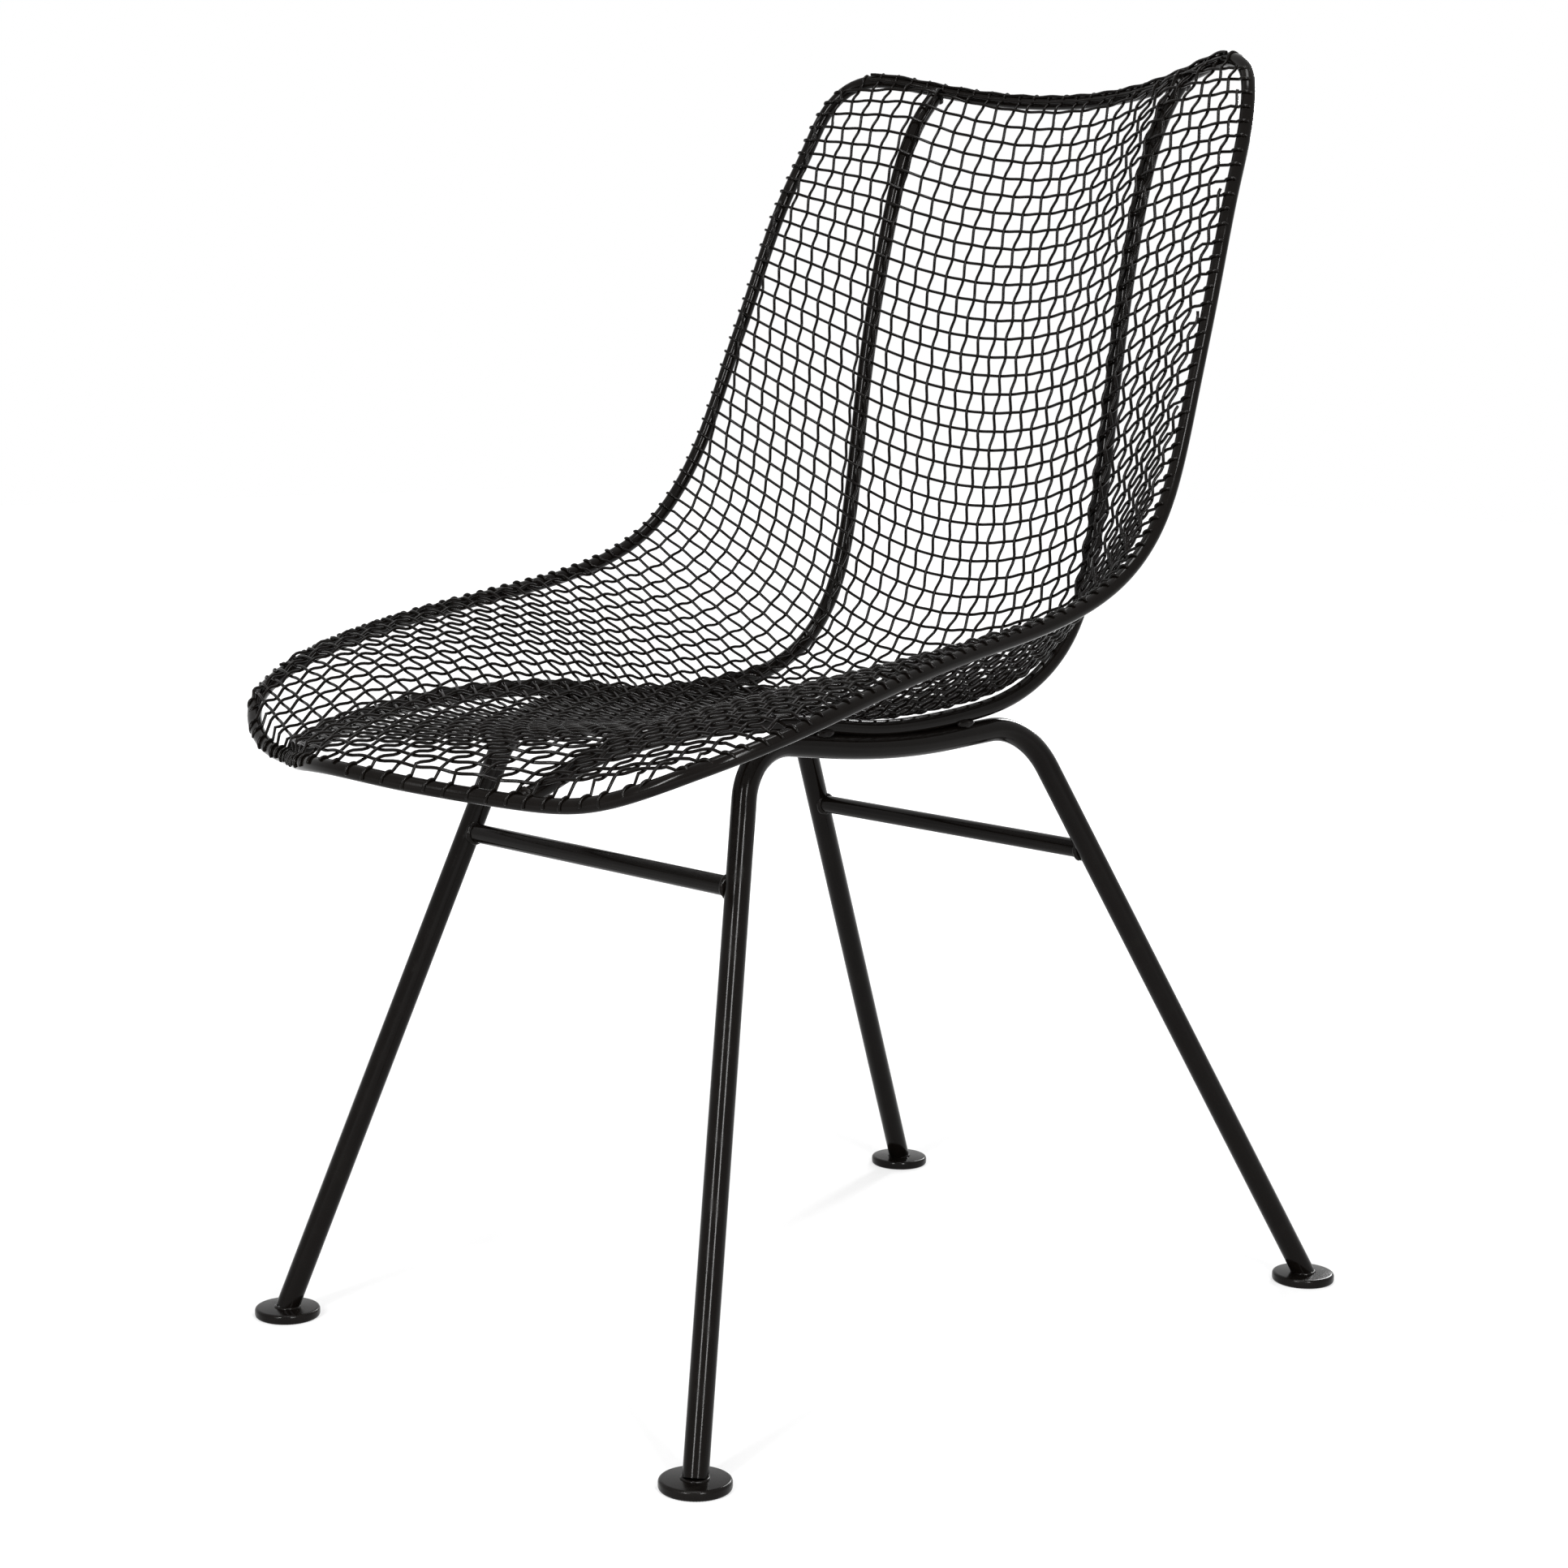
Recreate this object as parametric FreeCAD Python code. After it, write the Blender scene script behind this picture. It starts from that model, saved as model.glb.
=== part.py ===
import FreeCAD, Part
import math
import os

os.makedirs("parts", exist_ok=True)

# Wire mesh bucket chair, in millimetres
# Z is up and the floor is at zero, the front of the seat faces minus Y, the sitter's left is plus X
# The chair is the same on both sides of X = 0, so most pieces are made on the plus X side and mirrored

# Rod, tube and wire sizes
rim_rod_diameter = 9.5
rib_rod_diameter = 11.1
leg_tube_diameter = 15.9
stretcher_diameter = 12.7
wire_diameter = 2.1
contact_gap = 0.3
rod_sag = 0.5
rod_sides = 12
spot_search_step = 3.0

rim_radius = rim_rod_diameter / 2
rib_radius = rib_rod_diameter / 2
leg_radius = leg_tube_diameter / 2
stretcher_radius = stretcher_diameter / 2

# Feet and leg frames, each frame one tube bent into an upturned U that leans in toward the seat
foot_diameter = 44.3
foot_thickness = 6.6
foot_edge_drop = 1.8
foot_edge_width = 2.2
front_foot_x = 209.0
front_foot_y = -251.3
rear_foot_x = 203.5
rear_foot_y = 342.7
frame_lean = 0.2273
front_bend_y = -127.6
front_bend_z = 422.0
rear_bend_y = 127.4
rear_bend_z = 413.5
bar_middle_y = -1.5
bar_middle_z = 406.5
front_bend_radius = 42.0
rear_bend_radius = 56.0
bar_middle_radius = 600.0

# Stretcher rods, level and parallel to X
front_stretcher_z = 336.0
rear_stretcher_z = 323.5

# Weld beads that hold the ribs on the leg frames
rib_weld_length = 16.0
rib_weld_radius = 3.6

# Rim rod centre line, from the middle of the top edge round the sitter's left to the middle of the front
rim_half = [
    (0, 288.5, 836), (60, 284, 839.2), (116, 271.7, 848.1), (145, 262.2, 854), (168, 253.5, 856),
    (186, 245.5, 850), (199, 234.5, 832), (205, 224.5, 808), (211, 206.5, 770), (218, 179.5, 698),
    (223, 157, 637), (227, 138, 588), (230, 117.5, 553), (230.5, 90.5, 526), (230, 33.5, 500),
    (232, -46.5, 484), (239, -132.5, 468), (234, -229.5, 441), (211, -269.5, 424.5), (160, -297.5, 405),
    (124, -308.5, 402.5), (92, -322.5, 404.5), (48, -347.5, 410), (0, -359.5, 414)]
rim_top_corner = 5
rim_front_corner = 18

# Rib rod centre line from the top of the back to the front of the seat
# The part over the leg frame's bar keeps its height from the bar
rib_back = [(116, 268.5, 848), (116.5, 256.5, 833), (117.5, 223, 755), (119, 199, 625), (118.5, 187.5, 540)]
rib_bend = [(117.5, 161, 467), (116, 135.5, 444), (114.5, 103, 430)]
rib_bar_y = [70.5, 28.5, -21.5, -73.5]
rib_bar_x = 114.0
rib_front = [(114, -161.5, 433), (114, -209.5, 430), (115, -263.5, 420), (116, -293.5, 409), (116.5, -311.3, 402.8)]

# Middle line of the mesh at X = 0, from the top edge to the front edge
mesh_middle = [
    (0, 280.5, 835), (0, 260.5, 790), (0, 236.5, 730), (0, 215.5, 660), (0, 202.5, 590), (0, 190.5, 530),
    (0, 173.5, 480), (0, 146.5, 448), (0, 103.5, 428), (0, 48.5, 419), (0, -21.5, 417), (0, -101.5, 420),
    (0, -181.5, 424), (0, -251.5, 427), (0, -301.5, 426), (0, -336.5, 423), (0, -357.5, 420)]

# Mesh layout: the weave is square, so one pitch serves both families of wires
mesh_pitch = 13.2
mesh_wires_each_side = 19
first_bend_row = 27
first_seat_row = 40
mesh_columns = [40.0, 118.0, 155.0]
mesh_outer_column = 270.0
mesh_stations = [0.0, 0.07, 0.17, 0.28, 0.37, 0.42, 0.455, 0.49, 0.55, 0.66, 0.80, 0.91, 0.96, 1.0]
rim_rest = 1.1
rim_wrap_gap = 1.0
rim_search_reach = 1.5
rim_wrap_angle = 32.0
side_end_inset = 4.0


def vec(p):
    return FreeCAD.Vector(p[0], p[1], p[2])


def mirrored(shape):
    return shape.mirror(vec((0, 0, 0)), vec((1, 0, 0)))


def along(a, b, t):
    return a + (b - a) * t


def unit(v):
    return v * (1.0 / v.Length)


def smooth_curve(points, closed=False):
    curve = Part.BSplineCurve()
    curve.interpolate([vec(p) for p in points], closed)
    return curve


def spots_along(curve, first, last):
    # parameters close enough together that the straight runs between them stay near the curve
    spots = [first]
    step = (last - first) / math.ceil((last - first) / spot_search_step)
    trial = first
    while trial < last - step / 2:
        trial += step
        start = curve.value(spots[-1])
        end = curve.value(trial)
        middle = curve.value((spots[-1] + trial) / 2)
        if (middle - along(start, end, 0.5)).Length > rod_sag:
            spots.append(trial - step)
    if last - spots[-1] < spot_search_step:
        spots.pop()
    return spots + [last]


def sections_on_curve(curve, first, last):
    return [(curve.value(t), unit(curve.tangent(t)[0])) for t in spots_along(curve, first, last)]


def sections_on_path(path):
    # straight edges need only their ends, bends as many sections as keep them round
    sections = []
    for edge in path.Edges:
        runs = 1
        if isinstance(edge.Curve, Part.Circle):
            step = 2 * math.acos(1 - rod_sag / 2 / edge.Curve.Radius)
            runs = math.ceil((edge.LastParameter - edge.FirstParameter) / step)
        for k in range(runs):
            t = edge.FirstParameter + (edge.LastParameter - edge.FirstParameter) * k / runs
            sections.append((edge.valueAt(t), edge.tangentAt(t)))
    last = path.Edges[-1]
    sections.append((last.valueAt(last.LastParameter), last.tangentAt(last.LastParameter)))
    return sections


def rod(sections, radius, steady):
    # rod of many flat sides with the round rod's own area, its corners kept in line
    reach = radius * math.sqrt(2 * math.pi / rod_sides / math.sin(2 * math.pi / rod_sides))
    rings = []
    for spot, direction in sections:
        steady = unit(steady - direction * steady.dot(direction))
        across = direction.cross(steady)
        turns = [2 * math.pi * (k + 0.5) / rod_sides for k in range(rod_sides)]
        corners = [spot + (steady * math.cos(t) + across * math.sin(t)) * reach for t in turns]
        rings.append(Part.makePolygon(corners + [corners[0]]))
    return Part.makeLoft(rings, True, True)


def bent_path(points, radii):
    # straight runs joined by tangent bends, one bend radius for each inner corner
    edges = []
    last = points[0]
    for k in range(1, len(points) - 1):
        corner = points[k]
        back = unit(points[k - 1] - corner)
        ahead = unit(points[k + 1] - corner)
        half = back.getAngle(ahead) / 2
        reach = radii[k - 1] / math.tan(half)
        bend_start = corner + back * reach
        bend_end = corner + ahead * reach
        toward = unit(back + ahead)
        centre = corner + toward * (radii[k - 1] / math.sin(half))
        edges.append(Part.makeLine(last, bend_start))
        edges.append(Part.Arc(bend_start, centre - toward * radii[k - 1], bend_end).toShape())
        last = bend_end
    edges.append(Part.makeLine(last, points[-1]))
    return Part.Wire(edges)


def save(name, solids):
    shape = solids[0] if len(solids) == 1 else Part.makeCompound(solids)
    shape.exportStep("parts/" + name + ".step")


# Leg frames

def frame_point(y, z):
    share = (y - front_foot_y) / (rear_foot_y - front_foot_y)
    foot_x = front_foot_x + (rear_foot_x - front_foot_x) * share
    return vec((foot_x - frame_lean * (z - foot_thickness), y, z))


front_foot_top = frame_point(front_foot_y, foot_thickness)
rear_foot_top = frame_point(rear_foot_y, foot_thickness)
front_corner = frame_point(front_bend_y, front_bend_z)
bar_middle = frame_point(bar_middle_y, bar_middle_z)
rear_corner = frame_point(rear_bend_y, rear_bend_z)
front_start = front_foot_top - unit(front_corner - front_foot_top) * foot_diameter / 2
rear_end = rear_foot_top - unit(rear_corner - rear_foot_top) * foot_diameter / 2
frame_path = bent_path(
    [front_start, front_corner, bar_middle, rear_corner, rear_end],
    [front_bend_radius, bar_middle_radius, rear_bend_radius])
below_feet = Part.makeBox(1000, 1200, 200, vec((-500, -600, foot_thickness - 200)))
left_leg_frame = rod(sections_on_path(frame_path), leg_radius, vec((1, 0, 0))).cut(below_feet)
right_leg_frame = mirrored(left_leg_frame)


def foot_disc(x, y):
    profile = Part.makePolygon([
        vec((0, 0, 0)), vec((foot_diameter / 2, 0, 0)),
        vec((foot_diameter / 2, 0, foot_thickness - foot_edge_drop)),
        vec((foot_diameter / 2 - foot_edge_width, 0, foot_thickness)), vec((0, 0, foot_thickness)),
        vec((0, 0, 0))])
    disc = Part.Face(profile).revolve(vec((0, 0, 0)), vec((0, 0, 1)), 360)
    disc = Part.Solid(disc) if disc.ShapeType != "Solid" else disc
    return disc.translated(vec((x, y, 0)))


front_left_foot = foot_disc(front_foot_x, front_foot_y)
rear_left_foot = foot_disc(rear_foot_x, rear_foot_y)

# Stretchers, mitred to the leg tubes


def leg_axis_at(foot_top, corner, z):
    return along(foot_top, corner, (z - foot_top.z) / (corner.z - foot_top.z))


def stretcher_between(end):
    bar = Part.makeCylinder(stretcher_radius, 2 * end.x, vec((-end.x, end.y, end.z)), vec((1, 0, 0)))
    return bar.cut(left_leg_frame).cut(right_leg_frame)


def largest(shape):
    return max(shape.Solids, key=lambda s: s.Volume)


front_joint = leg_axis_at(front_foot_top, front_corner, front_stretcher_z)
rear_joint = leg_axis_at(rear_foot_top, rear_corner, rear_stretcher_z)
front_stretcher = largest(stretcher_between(front_joint))
rear_stretcher = largest(stretcher_between(rear_joint))



# Rim rod, one closed loop swept as two mirrored halves

rim_other_half = [(-p[0], p[1], p[2]) for p in reversed(rim_half[1:-1])]
rim_curve = smooth_curve(rim_half + rim_other_half, True)
rim_curve.segment(0, rim_curve.parameter(vec(rim_half[-1])))
rim_sections = sections_on_curve(rim_curve, rim_curve.FirstParameter, rim_curve.LastParameter)
rim_sections[0] = (rim_sections[0][0], vec((1, 0, 0)))
rim_sections[-1] = (rim_sections[-1][0], vec((-1, 0, 0)))
rim_side = rod(rim_sections, rim_radius, vec((0, 0, 1)))
rim_rod = largest(rim_side.fuse(mirrored(rim_side)).removeSplitter())

# Rib rods, seated on the leg frame's bar and butted to the rim


def bar_axis_height(y):
    # height of the bar's centre line at a station between its two bends
    step = min(frame_path.Edges[1:-1], key=lambda e: min(
        abs(e.valueAt(along(e.FirstParameter, e.LastParameter, k / 40.0)).y - y) for k in range(41)))
    spots = [step.valueAt(along(step.FirstParameter, step.LastParameter, k / 200.0)) for k in range(201)]
    return min(spots, key=lambda p: abs(p.y - y))


def rib_over_bar(y):
    axis = bar_axis_height(y)
    aside = rib_bar_x - axis.x
    stack = leg_radius + rib_radius + contact_gap
    return (rib_bar_x, y, axis.z + math.sqrt(stack * stack - aside * aside))


rib_points = rib_back + rib_bend + [rib_over_bar(y) for y in rib_bar_y] + rib_front
rib_curve = smooth_curve(rib_points)
rib_sections = sections_on_curve(rib_curve, rib_curve.FirstParameter, rib_curve.LastParameter)
rib_full = rod(rib_sections, rib_radius, vec((1, 0, 0)))
left_rib_rod = largest(rib_full.cut(rim_rod))


def saddle_weld(y):
    # short bead in the outer groove between rib and bar
    lower = bar_axis_height(y)
    upper = vec(rib_over_bar(y))
    across = unit(upper - lower)
    groove = unit(vec((across.z, 0, -across.x)))
    contact = lower + across * (leg_radius + contact_gap / 2)
    centre = contact + groove * (rib_weld_radius + 0.6) - vec((0, rib_weld_length / 2, 0))
    bead = Part.makeCylinder(rib_weld_radius, rib_weld_length, centre, vec((0, 1, 0)))
    return largest(bead.cut(left_leg_frame).cut(left_rib_rod))


rib_saddle_welds = [saddle_weld(rib_bar_y[0]), saddle_weld(rib_bar_y[-1])]

# Mesh surface: a grid of nodes halfway between the two layers of wires

wire_half = wire_diameter * math.sqrt(math.pi) / 4
layer_step = wire_diameter / 2 + contact_gap / 2
rim_wrap_radius = rim_radius + wire_half + rim_wrap_gap
middle_curve = smooth_curve(mesh_middle)


def span_points(curve, first, last, fractions):
    # points at shares of the length between two parameters, and a fine chain to measure by
    count = 400
    chain = [curve.value(along(first, last, k / count)) for k in range(count + 1)]
    lengths = [0.0]
    for k in range(count):
        lengths.append(lengths[-1] + (chain[k + 1] - chain[k]).Length)
    found = []
    for share in fractions:
        want = share * lengths[-1]
        k = max(i for i in range(count) if lengths[i] <= want + 1e-9)
        found.append(along(chain[k], chain[k + 1], (want - lengths[k]) / (lengths[k + 1] - lengths[k])))
    return found, lengths[-1], chain


corner_start = rim_curve.parameter(vec(rim_half[rim_top_corner]))
corner_end = rim_curve.parameter(vec(rim_half[rim_front_corner]))
middle_line, middle_length, _ = span_points(
    middle_curve, middle_curve.FirstParameter, middle_curve.LastParameter, mesh_stations)
rib_line, _, _ = span_points(rib_curve, rib_curve.FirstParameter, rib_curve.LastParameter, mesh_stations)
side_line, _, _ = span_points(rim_curve, corner_start, corner_end, mesh_stations)
_, _, rim_chain = span_points(rim_curve, rim_curve.FirstParameter, rim_curve.LastParameter, [0.0])


def lifted(line, outward, k, rise):
    # the point raised off its rod toward the sitter
    before = line[max(k - 1, 0)]
    after = line[min(k + 1, len(line) - 1)]
    return line[k] + unit((after - before).cross(outward)) * rise


def station_nodes(k):
    middle = middle_line[k]
    rib = lifted(rib_line, side_line[k] - middle, k, rib_radius + contact_gap + wire_half + layer_step)
    side = lifted(side_line, side_line[k] - rib, k, rim_radius + rim_rest + wire_half + layer_step)
    u1 = rib.x ** 2
    u2 = side.x ** 2
    bend = [((side[i] - middle[i]) / u2 - (rib[i] - middle[i]) / u1) / (u2 - u1) for i in (1, 2)]
    slope = [(rib[i] - middle[i]) / u1 - bend[i - 1] * u1 for i in (1, 2)]
    nodes = []
    walked = 0.0
    last = middle
    steps = 200
    for n in range(1, steps + 1):
        x = side.x * n / steps
        u = x * x
        spot = vec((x, middle.y + slope[0] * u + bend[0] * u * u, middle.z + slope[1] * u + bend[1] * u * u))
        step = (spot - last).Length
        for column in mesh_columns:
            if walked < column <= walked + step:
                nodes.append(along(last, spot, (column - walked) / step))
        walked += step
        last = spot
    reach = (mesh_outer_column - mesh_columns[-1]) / (walked - mesh_columns[-1])
    nodes.append(along(nodes[-1], side, reach))
    return nodes, walked


grid = []
half_width = []
for k in range(len(mesh_stations)):
    nodes, width = station_nodes(k)
    grid.append(nodes)
    half_width.append(width)
columns = mesh_columns + [mesh_outer_column]


def node_normal(k, c):
    down = grid[min(k + 1, len(grid) - 1)][c] - grid[max(k - 1, 0)][c]
    left = max(c - 1, 0)
    right = min(c + 1, len(columns) - 1)
    return unit(down.cross(grid[k][right] - grid[k][left]))


normals = [[node_normal(k, c) for c in range(len(columns))] for k in range(len(grid))]


def cell(values, a):
    # value at a distance from the middle along one station
    if a <= columns[0]:
        inner = FreeCAD.Vector(values[0])
        inner.x = -inner.x
        return along(inner, values[0], (a + columns[0]) / (2 * columns[0]))
    k = min(c for c in range(1, len(columns)) if a <= columns[c] + 1e-9)
    return along(values[k - 1], values[k], (a - columns[k - 1]) / (columns[k] - columns[k - 1]))


def mesh_point(share, a, lift):
    k = max(i for i in range(len(mesh_stations) - 1) if mesh_stations[i] <= share)
    t = (share - mesh_stations[k]) / (mesh_stations[k + 1] - mesh_stations[k])
    spot = along(cell(grid[k], a), cell(grid[k + 1], a), t)
    normal = unit(along(cell(normals[k], a), cell(normals[k + 1], a), t))
    return spot + normal * lift, normal


def width_at(share):
    k = max(i for i in range(len(mesh_stations) - 1) if mesh_stations[i] <= share)
    t = (share - mesh_stations[k]) / (mesh_stations[k + 1] - mesh_stations[k])
    return along(half_width[k], half_width[k + 1], t)


def nearest_on_rim(start, end):
    # closest pair between a line and the rim's centre line
    best = None
    ray = end - start
    for spot in rim_chain:
        share = (spot - start).dot(ray) / ray.dot(ray)
        touch = start + ray * share
        gap = (touch - spot).Length
        if 0 < share < rim_search_reach and (best is None or gap < best[0]):
            best = (gap, touch, spot)
    return best[1], best[2]


def rim_end(inner, outer):
    # the tip of a wire that comes down on the rim and laps over it by the wrap angle
    touch, core = nearest_on_rim(inner, outer)
    off = unit(touch - core)
    ray = unit(outer - inner)
    out = unit(ray - off * ray.dot(off))
    turn = math.radians(rim_wrap_angle)
    tip_direction = off * math.cos(turn) + out * math.sin(turn)
    return core + tip_direction * rim_wrap_radius, tip_direction


def wire_solid(stops):
    # square section wire through its stops, each a point and the direction that stays up
    sections = []
    for k in range(len(stops)):
        before = stops[max(k - 1, 0)][0]
        after = stops[min(k + 1, len(stops) - 1)][0]
        run = unit(after - before)
        side = unit(run.cross(stops[k][1])) * wire_half
        up = unit(side.cross(run)) * wire_half
        spot = stops[k][0]
        corners = [spot + side + up, spot - side + up, spot - side - up, spot + side - up]
        sections.append(Part.makePolygon(corners + [corners[0]]))
    return Part.makeLoft(sections, True, True)


def flipped(stop):
    return (vec((-stop[0].x, stop[0].y, stop[0].z)), vec((-stop[1].x, stop[1].y, stop[1].z)))


# Crosswise wires run from rim to rim and lie on the sitter's side
row_count = int(middle_length / mesh_pitch)
crosswise_wires = []
for n in range(row_count):
    share = (n + 0.5) / row_count
    side_stops = [mesh_point(share, a, layer_step) for a in mesh_columns]
    outer, _ = mesh_point(share, mesh_outer_column, layer_step)
    side_stops.append(rim_end(side_stops[-1][0], outer))
    stops = [flipped(s) for s in reversed(side_stops)] + side_stops
    crosswise_wires.append(wire_solid(stops))

# Lengthwise wires run from the top edge down the back and over the seat, under the crosswise ones
# Those near the sides end where the rim comes in, so one offset can hold two shorter wires


def wide_runs(a):
    # runs of stations where the mesh is wide enough for a wire at this distance from the middle
    runs = [[]]
    for share in mesh_stations:
        if width_at(share) - side_end_inset > a:
            runs[-1].append(share)
        elif runs[-1]:
            runs.append([])
    return [run for run in runs if len(run) > 1]


def side_end(a, inside, outside):
    # where the wire meets the rim between a station inside the run and the next one outside it
    wide = width_at(inside) - side_end_inset
    narrow = width_at(outside) - side_end_inset
    return mesh_point(along(inside, outside, (wide - a) / (wide - narrow)), a, -layer_step)


def lengthwise_wire(a, shares):
    stops = [mesh_point(s, a, -layer_step) for s in shares]
    if shares[0] == mesh_stations[0]:
        stops[0] = rim_end(stops[1][0], stops[0][0])
    else:
        outside = mesh_stations[mesh_stations.index(shares[0]) - 1]
        stops.insert(0, side_end(a, shares[0], outside))
    if shares[-1] == mesh_stations[-1]:
        stops[-1] = rim_end(stops[-2][0], stops[-1][0])
    else:
        outside = mesh_stations[mesh_stations.index(shares[-1]) + 1]
        stops.append(side_end(a, shares[-1], outside))
    return wire_solid(stops)


lengthwise_half = []
for n in range(mesh_wires_each_side):
    a = (n + 0.5) * mesh_pitch
    lengthwise_half += [lengthwise_wire(a, shares) for shares in wide_runs(a)]

save("rim_rod", [rim_rod])
save("left_rib_rod", [left_rib_rod])
save("right_rib_rod", [mirrored(left_rib_rod)])
save("left_leg_frame", [left_leg_frame])
save("right_leg_frame", [right_leg_frame])
save("front_stretcher", [front_stretcher])
save("rear_stretcher", [rear_stretcher])
save("front_feet", [front_left_foot, mirrored(front_left_foot)])
save("rear_feet", [rear_left_foot, mirrored(rear_left_foot)])
save("rib_saddle_welds", rib_saddle_welds + [mirrored(w) for w in rib_saddle_welds])
save("crosswise_wires_back", crosswise_wires[:first_bend_row])
save("crosswise_wires_bend", crosswise_wires[first_bend_row:first_seat_row])
save("crosswise_wires_seat", crosswise_wires[first_seat_row:])
save("left_lengthwise_wires", lengthwise_half)
save("right_lengthwise_wires", [mirrored(w) for w in lengthwise_half])
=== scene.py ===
import math

import bpy
import numpy as np
from mathutils import Matrix, Vector


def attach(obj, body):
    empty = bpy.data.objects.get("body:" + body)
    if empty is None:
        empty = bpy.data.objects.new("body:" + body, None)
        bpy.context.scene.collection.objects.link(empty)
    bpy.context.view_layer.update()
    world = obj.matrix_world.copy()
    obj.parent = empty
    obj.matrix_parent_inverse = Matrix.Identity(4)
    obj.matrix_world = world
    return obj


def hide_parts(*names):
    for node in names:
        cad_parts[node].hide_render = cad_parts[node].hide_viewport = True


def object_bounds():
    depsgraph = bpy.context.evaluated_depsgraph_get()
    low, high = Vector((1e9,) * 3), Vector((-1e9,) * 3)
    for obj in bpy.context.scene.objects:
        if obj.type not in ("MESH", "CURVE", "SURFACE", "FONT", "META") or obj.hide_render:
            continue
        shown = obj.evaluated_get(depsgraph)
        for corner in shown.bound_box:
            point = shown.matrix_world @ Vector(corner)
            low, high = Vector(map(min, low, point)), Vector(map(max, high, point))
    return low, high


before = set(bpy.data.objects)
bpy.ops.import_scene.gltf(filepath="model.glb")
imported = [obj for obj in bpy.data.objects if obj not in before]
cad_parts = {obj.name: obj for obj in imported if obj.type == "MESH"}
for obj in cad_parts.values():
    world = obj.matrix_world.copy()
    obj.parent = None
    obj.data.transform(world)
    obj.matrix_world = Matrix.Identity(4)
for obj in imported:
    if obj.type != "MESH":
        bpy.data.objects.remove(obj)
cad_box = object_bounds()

# Wire mesh bucket chair, in metres
# Z is up, the front of the seat faces minus Y, the sitter's left is plus X

RIM_RADIUS = 0.00475
RIB_RADIUS = 0.00555
LEG_RADIUS = 0.00795
STRETCHER_RADIUS = 0.00635
WIRE_RADIUS = 0.00105
ROD_SPACING = 0.005
CHAIN_STEPS = 30
RIM_ROUNDNESS = 8
LEG_ROUNDNESS = 12
STRETCHER_ROUNDNESS = 10
SMOOTH_ANGLE = math.radians(50)

# Rim rod stations on the sitter's left, from the middle of the top edge to the middle of the front
RIM_HALF = [
    (0, 0.2885, 0.836), (0.060, 0.284, 0.8392), (0.116, 0.2717, 0.8481), (0.145, 0.2622, 0.854),
    (0.168, 0.2535, 0.856), (0.186, 0.2455, 0.850), (0.199, 0.2345, 0.832), (0.205, 0.2245, 0.808),
    (0.211, 0.2065, 0.770), (0.218, 0.1795, 0.698), (0.223, 0.157, 0.637), (0.227, 0.138, 0.588),
    (0.230, 0.1175, 0.553), (0.2305, 0.0905, 0.526), (0.230, 0.0335, 0.500), (0.232, -0.0465, 0.484),
    (0.239, -0.1325, 0.468), (0.234, -0.2295, 0.441), (0.211, -0.2695, 0.4245), (0.160, -0.2975, 0.405),
    (0.124, -0.3085, 0.4025), (0.092, -0.3225, 0.4045), (0.048, -0.3475, 0.410), (0, -0.3595, 0.414)]
RIM_TOP_CORNER = 5
RIM_FRONT_CORNER = 18

# Rib rod stations, from the rim at the top of the back to the rim at the front of the seat
RIB = [
    (0.116, 0.2695, 0.8465), (0.1165, 0.2565, 0.833), (0.1175, 0.223, 0.755), (0.119, 0.199, 0.625),
    (0.1185, 0.1875, 0.540), (0.1175, 0.161, 0.467), (0.116, 0.1355, 0.444), (0.1145, 0.103, 0.430),
    (0.114, 0.0705, 0.4245), (0.114, 0.0285, 0.4212), (0.114, -0.0215, 0.4217), (0.114, -0.0735, 0.4287),
    (0.114, -0.1615, 0.433), (0.114, -0.2095, 0.430), (0.115, -0.2635, 0.420), (0.116, -0.2935, 0.409),
    (0.1165, -0.3085, 0.4035)]

# Middle line of the mesh, from the top edge to the front edge
MESH_MIDDLE = [
    (0, 0.2805, 0.835), (0, 0.2605, 0.790), (0, 0.2365, 0.730), (0, 0.2155, 0.660), (0, 0.2025, 0.590),
    (0, 0.1905, 0.530), (0, 0.1735, 0.480), (0, 0.1465, 0.448), (0, 0.1035, 0.428), (0, 0.0485, 0.419),
    (0, -0.0215, 0.417), (0, -0.1015, 0.421), (0, -0.1815, 0.4265), (0, -0.2515, 0.4305),
    (0, -0.3015, 0.430), (0, -0.3365, 0.426), (0, -0.3575, 0.420)]

# Leg frame corners and bends on the sitter's left
FRONT_FOOT = (0.209, -0.2513, 0.0066)
REAR_FOOT = (0.2035, 0.3427, 0.0066)
FRAME_LEAN = 0.2273
FRONT_BEND = (-0.1276, 0.422, 0.042)
BAR_MIDDLE = (-0.0015, 0.4065, 0.600)
REAR_BEND = (0.1274, 0.4135, 0.056)
FRONT_STRETCHER_Z = 0.336
REAR_STRETCHER_Z = 0.3235
FOOT_RADIUS = 0.02215
FOOT_THICKNESS = 0.0066

# Weave
WIRE_PITCH = 0.0132
ROWS = 70
COLUMNS_EACH_SIDE = 19
STEPS_PER_PITCH = 4
CROSSWISE_CRIMP = 0.00070
LENGTHWISE_CRIMP = 0.00145
MESH_LIFT_RIB = 0.0081
MESH_LIFT_RIM = 0.0072
ROW_POINTS = 80
WING_BULGE = 0.25
SEAT_WING_RISE = 0.007
SEAT_WING_SHARES = (0.55, 0.70, 0.90, 0.98)


# Lines and curves

def lengths_along(points):
    steps = np.linalg.norm(np.diff(points, axis=0), axis=1)
    return np.concatenate([[0.0], np.cumsum(steps)])


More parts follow.
